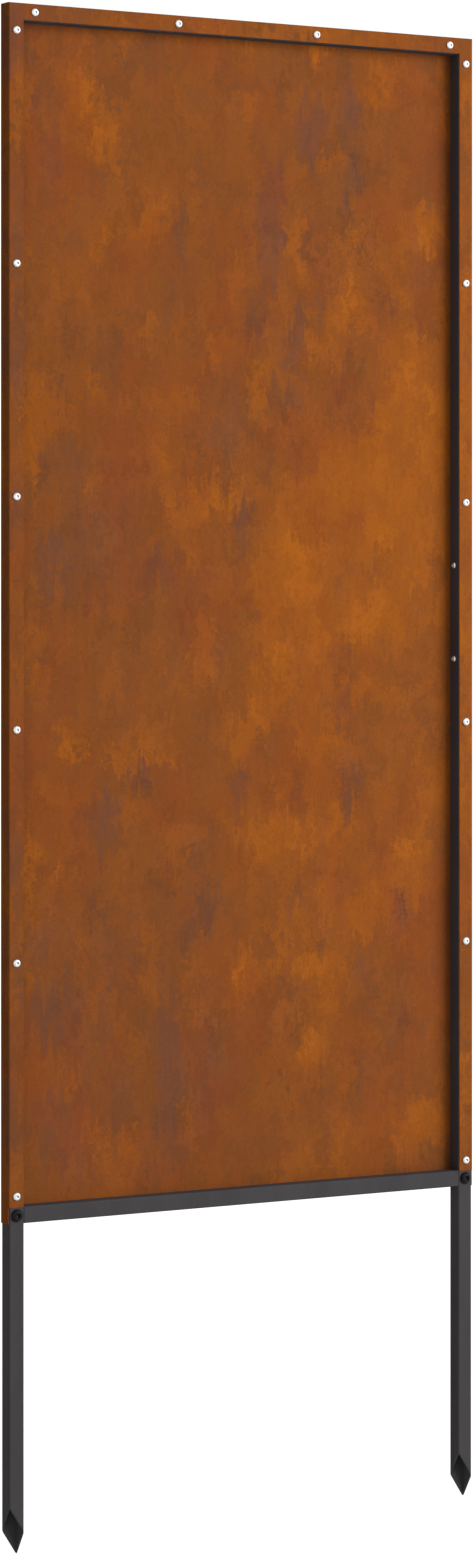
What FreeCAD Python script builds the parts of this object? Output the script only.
import FreeCAD, Part
import math
import os

from FreeCAD import Placement, Rotation, Vector

# A garden privacy screen: a tray folded from one weathering-steel sheet, screwed onto a frame of
# square tube whose two posts end in spikes that are pushed into the soil.
# +X is to the right as seen from the rear, +Y points to the plain show face, +Z is up.
# The origin is on the ground line, where the panel's lower edge meets the soil, midway between
# the posts and in their middle plane. All sizes are in millimetres.

# Panel tray
panel_width = 625.0
panel_height = 1375.0
sheet = 0.8
bend_radius = 1.0
lip_width = 18.8
tray_fit = 0.1

# Square tube of the frame
tube = 19.0
tube_wall = 1.2
tube_corner = 2.0

# Posts: the length below the panel, the height of the oblique cut, and the joint of the two lengths
leg_length = 375.0
spike_length = 56.0
splice_height = 687.5

# Splice sleeves inside the posts: their reach past the screws that hold them
sleeve_fit = 0.2
sleeve_wall = 1.5
sleeve_end = 29.0

# Joint between the bottom rail and the posts: a flat tongue with a square weld nut
tongue_thickness = 4.0
tongue_edge_gap = 1.8
tongue_end_gap = 1.8
tongue_in_rail = 40.0
nut_side = 13.0
nut_height = 6.5
slot_clearance = 0.4

# Screws through the lips
lip_screw_head = 9.5
lip_screw_head_height = 2.75
lip_screw_shank = 5.0
lip_screw_length = 16.0
lip_hole_clearance = 0.3
side_screw_count = 6
side_screw_below_top = 31.0
side_screw_above_lip_end = 12.5
top_screw_count = 4
top_screw_from_side = 33.0

# Screws on the inner faces of the posts
splice_screw_head = 7.6
splice_screw_head_height = 2.2
splice_screw_shank = 4.0
splice_screw_length = 10.0
splice_screw_pitch = 112.0

# Button-head bolts of the bottom rail
bolt_head = 14.0
bolt_crown = 7.0
bolt_head_height = 4.4
bolt_shank = 8.0
bolt_past_nut = 4.3
bolt_clearance = 0.2
bolt_to_lip = 2.0

# Room round a screw in the walls that it cuts into
thread_clearance = 0.05

# Places that follow from the sizes above
half_width = panel_width / 2
frame_half = half_width - sheet - tray_fit
frame_top = panel_height - sheet - tray_fit
post_x = frame_half - tube / 2
rail_half = frame_half - tube
rail_z = tube / 2
rear_y = -tube / 2
lip_rear_y = rear_y - sheet
tray_depth = sheet + tube + tray_fit + sheet
outer_bend = bend_radius + sheet
lip_bottom = rail_z + bolt_head / 2 + bolt_to_lip
lip_screw_edge = (half_width - frame_half + lip_width) / 2
tube_bore = tube - 2 * tube_wall
sleeve_side = tube_bore - 2 * sleeve_fit
sleeve_length = splice_screw_pitch + 2 * sleeve_end
tongue_y = rear_y + tube_wall
tongue_height = tube_bore - 2 * tongue_edge_gap
nut_y = tongue_y + tongue_thickness
bolt_length = tube_wall + tongue_thickness + nut_height + bolt_past_nut

# How far a cut reaches past the piece that it goes through
overrun = tube / 4

LEFT = -1
RIGHT = 1
SIDE_NAMES = {LEFT: "left", RIGHT: "right"}
TO_REAR = Vector(0, -1, 0)


def flat_face(corners):
    """Flat face inside a closed line of corners."""
    return Part.Face(Part.makePolygon(corners + corners[:1]))


def box_between(low, high):
    """Block from its lowest to its highest corner."""
    size = high - low
    return Part.makeBox(size.x, size.y, size.z, low)


def prism_across(outline):
    """Prism through the whole depth of the screen, from its outline as (x, z) points."""
    start = lip_rear_y - overrun
    corners = [Vector(x, start, z) for x, z in outline]
    return flat_face(corners).extrude(Vector(0, tray_depth + 2 * overrun, 0))


def square_bar(side, length):
    """Upright square bar on z = 0, round the Z axis."""
    return Part.makeBox(side, side, length, Vector(-side / 2, -side / 2, 0))


def frame_tube(length):
    """Upright length of the tube that the frame is made of, with rounded outer edges."""
    bar = square_bar(tube, length)
    long_edges = [edge for edge in bar.Edges if edge.BoundBox.ZLength > length / 2]
    return bar.makeFillet(tube_corner, long_edges).cut(square_bar(tube_bore, length))


def lay_along_x(shape):
    """Turn an upright piece so that its length runs along +X."""
    return shape.rotated(Vector(0, 0, 0), Vector(0, 1, 0), 90)


def headed_pin(head, crown, head_height, shank, length):
    """Screw or bolt along Z: the head stands on z = 0 and narrows to its crown, the shank points down."""
    outline = [
        Vector(0, 0, head_height),
        Vector(crown / 2, 0, head_height),
        Vector(head / 2, 0, 0),
        Vector(shank / 2, 0, 0),
        Vector(shank / 2, 0, -length),
        Vector(0, 0, -length),
    ]
    return flat_face(outline).revolve(Vector(0, 0, 0), Vector(0, 0, 1), 360)


def set_at(piece, place, outward):
    """Copy of a piece made along Z, turned so that its head points outwards, at its place."""
    placed = piece.copy()
    placed.Placement = Placement(place, Rotation(Vector(0, 0, 1), outward))
    return placed


def drill(place, outward, diameter, length):
    """Cylinder for a hole that starts outside the face at its place and runs inwards."""
    start = place + outward * overrun
    return Part.makeCylinder(diameter / 2, length + overrun, start, outward * -1)


def side_screw_places(side):
    """Points on the rear face of a side lip, evenly spaced from the bottom up."""
    x = side * (half_width - lip_screw_edge)
    lowest = lip_bottom + side_screw_above_lip_end
    highest = panel_height - side_screw_below_top
    pitch = (highest - lowest) / (side_screw_count - 1)
    return [Vector(x, lip_rear_y, lowest + i * pitch) for i in range(side_screw_count)]


def top_screw_places():
    """Points on the rear face of the top lip, evenly spaced from left to right."""
    z = panel_height - lip_screw_edge
    first = top_screw_from_side - half_width
    pitch = (panel_width - 2 * top_screw_from_side) / (top_screw_count - 1)
    return [Vector(first + i * pitch, lip_rear_y, z) for i in range(top_screw_count)]


def splice_screw_places(side):
    """Points on the inner face of a post, below and above the splice."""
    x = side * rail_half
    return [Vector(x, 0, splice_height + end * splice_screw_pitch / 2) for end in (-1, 1)]


def bolt_place(side):
    """Point on the rear face of a post, level with the middle of the bottom rail."""
    return Vector(side * post_x, rear_y, rail_z)


def lip_screw_drills(places):
    """Holes that the lip screws cut into what lies behind the lips."""
    diameter = lip_screw_shank + 2 * thread_clearance
    length = lip_screw_length + thread_clearance
    return [drill(place, TO_REAR, diameter, length) for place in places]


def splice_screw_drills(side):
    """Holes that the splice screws cut into the post and the sleeve."""
    diameter = splice_screw_shank + 2 * thread_clearance
    length = splice_screw_length + thread_clearance
    inward = Vector(-side, 0, 0)
    return [drill(place, inward, diameter, length) for place in splice_screw_places(side)]


def bent_line(inset, reach):
    """Line of the folded sheet at an inset from its outer side: lip, fold, wall, fold, front."""
    radius = outer_bend - inset
    rear_fold = Vector(outer_bend, outer_bend, 0)
    front_fold = Vector(outer_bend, tray_depth - outer_bend, 0)
    up = Vector(0, 0, 1)
    return [
        Part.makeLine(Vector(lip_width, inset, 0), Vector(outer_bend, inset, 0)),
        Part.makeCircle(radius, rear_fold, up, 180, 270),
        Part.makeLine(Vector(inset, outer_bend, 0), Vector(inset, front_fold.y, 0)),
        Part.makeCircle(radius, front_fold, up, 90, 180),
        Part.makeLine(Vector(outer_bend, tray_depth - inset, 0), Vector(reach, tray_depth - inset, 0)),
    ]


def folded_channel(reach, length):
    """Lip, wall and front of the sheet as one bent strip, upright, the wall's outer face on x = 0."""
    lip_end = Part.makeLine(Vector(lip_width, 0, 0), Vector(lip_width, sheet, 0))
    front_end = Part.makeLine(Vector(reach, tray_depth, 0), Vector(reach, tray_depth - sheet, 0))
    edges = bent_line(0, reach) + bent_line(sheet, reach) + [lip_end, front_end]
    section = Part.Face(Part.Wire(Part.__sortEdges__(edges)))
    return section.extrude(Vector(0, 0, length))


def lip_end_cutter():
    """Block that ends the left lip and its fold above the bolt of the bottom rail."""
    low = Vector(-half_width - overrun, lip_rear_y - overrun, -overrun)
    high = Vector(lip_width + overrun - half_width, lip_rear_y + outer_bend, lip_bottom)
    return box_between(low, high)


def panel_tray():
    """Sheet folded back at both sides and the top, with lips on the rear that are welded at the corners."""
    corner = Vector(-half_width, lip_rear_y, 0)
    side = folded_channel(half_width, panel_height).translated(corner)
    top = lay_along_x(folded_channel(half_width, half_width))
    top = top.translated(corner + Vector(0, 0, panel_height))
    mitre_start = (-half_width - overrun, panel_height + overrun)
    mitre_end = (overrun, panel_height - half_width - overrun)
    beside = [mitre_start, mitre_end, (overrun, -overrun), (mitre_start[0], -overrun)]
    above = [mitre_start, mitre_end, (overrun, mitre_start[1])]
    half = side.common(prism_across(beside)).fuse(top.common(prism_across(above)))
    half = half.cut(lip_end_cutter())
    tray = half.fuse(half.mirror(Vector(0, 0, 0), Vector(1, 0, 0))).removeSplitter()
    places = side_screw_places(LEFT) + side_screw_places(RIGHT) + top_screw_places()
    hole = lip_screw_shank + 2 * lip_hole_clearance
    return tray.cut([drill(place, TO_REAR, hole, 2 * sheet) for place in places])


def mitre_waste(side, of_post):
    """Corner of the tubes beyond the mitre line: above the post, or outside the top rail."""
    outer = frame_half + overrun
    inner = rail_half - overrun
    high = frame_top + overrun
    low = frame_top - tube - overrun
    third = (inner, high) if of_post else (outer, low)
    return prism_across([(side * x, z) for x, z in ((outer, high), (inner, low), third)])


def upper_post(side):
    """Post inside the tray, from the splice up to the mitre with the top rail."""
    post = frame_tube(frame_top - splice_height).translated(Vector(side * post_x, 0, splice_height))
    holes = lip_screw_drills(side_screw_places(side)) + splice_screw_drills(side)
    return post.cut([mitre_waste(side, True)] + holes)


def top_rail():
    """Tube under the top lip, mitred at both ends."""
    rail = lay_along_x(frame_tube(2 * frame_half)).translated(Vector(-frame_half, 0, frame_top - tube / 2))
    waste = [mitre_waste(side, False) for side in SIDE_NAMES]
    return rail.cut(waste + lip_screw_drills(top_screw_places()))


def spike_waste(side):
    """What one oblique cut takes off, with the lowest point left at the post's front right corner."""
    half = tube / 2 + overrun
    reach = tube / 2 - tube_corner * (1 - math.sqrt(0.5))
    slope = spike_length / (4 * reach)
    corners = []
    for x, y in ((-half, -half), (half, -half), (half, half), (-half, half)):
        height = (2 * reach - x - y) * slope - leg_length
        corners.append(Vector(side * post_x + x, y, height))
    return flat_face(corners).extrude(Vector(0, 0, -2 * spike_length))


def tongue_slot(side):
    """Cut-out in a post's inner wall that lets the rail's tongue and its nut through."""
    half_height = max(tongue_height, nut_side) / 2 + slot_clearance
    ends = sorted((side * (rail_half - overrun), side * (rail_half + tube_wall + tube_corner)))
    low = Vector(ends[0], tongue_y, rail_z - half_height)
    high = Vector(ends[1], nut_y + nut_height + slot_clearance, rail_z + half_height)
    return box_between(low, high)


def lower_post(side):
    """Post from the spike in the soil up to the splice, with the joint of the bottom rail."""
    post = frame_tube(splice_height + leg_length).translated(Vector(side * post_x, 0, -leg_length))
    bolt_hole = drill(bolt_place(side), TO_REAR, bolt_shank + 2 * bolt_clearance, 2 * tube_wall)
    holes = lip_screw_drills(side_screw_places(side)) + splice_screw_drills(side)
    return post.cut([spike_waste(side), tongue_slot(side), bolt_hole] + holes)


def splice_sleeve(side):
    """Smaller tube inside a post, across the joint of its two lengths."""
    bore = square_bar(sleeve_side - 2 * sleeve_wall, sleeve_length)
    sleeve = square_bar(sleeve_side, sleeve_length).cut(bore)
    sleeve = sleeve.translated(Vector(side * post_x, 0, splice_height - sleeve_length / 2))
    return sleeve.cut(splice_screw_drills(side) + lip_screw_drills(side_screw_places(side)))


def bottom_rail():
    """Tube between the posts, level with the panel's lower edge."""
    return lay_along_x(frame_tube(2 * rail_half)).translated(Vector(-rail_half, 0, rail_z))


def rail_tongue(side):
    """Flat bar fixed in the end of the bottom rail that reaches into the post behind its rear wall."""
    far_end = post_x + tube_bore / 2 - tongue_end_gap
    ends = sorted((side * (rail_half - tongue_in_rail), side * far_end))
    low = Vector(ends[0], tongue_y, rail_z - tongue_height / 2)
    high = Vector(ends[1], nut_y, rail_z + tongue_height / 2)
    hole = drill(bolt_place(side), TO_REAR, bolt_shank + 2 * bolt_clearance, tube)
    return box_between(low, high).cut(hole)


def tongue_nut(side):
    """Square weld nut on the front of the tongue, round the bolt."""
    middle = bolt_place(side)
    low = Vector(middle.x - nut_side / 2, nut_y, rail_z - nut_side / 2)
    high = Vector(middle.x + nut_side / 2, nut_y + nut_height, rail_z + nut_side / 2)
    hole = drill(middle, TO_REAR, bolt_shank + 2 * thread_clearance, tube)
    return box_between(low, high).cut(hole)


def rail_bolt(side):
    """Button-head bolt through the post's rear wall and the tongue into its nut."""
    bolt = headed_pin(bolt_head, bolt_crown, bolt_head_height, bolt_shank, bolt_length)
    return set_at(bolt, bolt_place(side), TO_REAR)


def lip_screws(places):
    """One screw at each place on a lip, as separate solids."""
    head = lip_screw_head
    screw = headed_pin(head, head, lip_screw_head_height, lip_screw_shank, lip_screw_length)
    return Part.makeCompound([set_at(screw, place, TO_REAR) for place in places])


def splice_screws(side):
    """The two screws that hold a splice sleeve, as separate solids."""
    head = splice_screw_head
    screw = headed_pin(head, head, splice_screw_head_height, splice_screw_shank, splice_screw_length)
    inward = Vector(-side, 0, 0)
    return Part.makeCompound([set_at(screw, place, inward) for place in splice_screw_places(side)])


def all_pieces():
    """Every sub-part of the screen under its own name."""
    pieces = {
        "panel_tray": panel_tray(),
        "top_rail": top_rail(),
        "bottom_rail": bottom_rail(),
        "lip_screws_top": lip_screws(top_screw_places()),
    }
    for side, name in SIDE_NAMES.items():
        pieces["upper_post_" + name] = upper_post(side)
        pieces["lower_post_" + name] = lower_post(side)
        pieces["splice_sleeve_" + name] = splice_sleeve(side)
        pieces["splice_screws_" + name] = splice_screws(side)
        pieces["rail_tongue_" + name] = rail_tongue(side)
        pieces["tongue_nut_" + name] = tongue_nut(side)
        pieces["rail_bolt_" + name] = rail_bolt(side)
        pieces["lip_screws_" + name] = lip_screws(side_screw_places(side))
    return pieces


os.makedirs("parts", exist_ok=True)
for node, shape in all_pieces().items():
    shape.exportStep("parts/" + node + ".step")
    print(node, len(shape.Solids), "solids", round(shape.Volume), "mm3", "valid", shape.isValid())
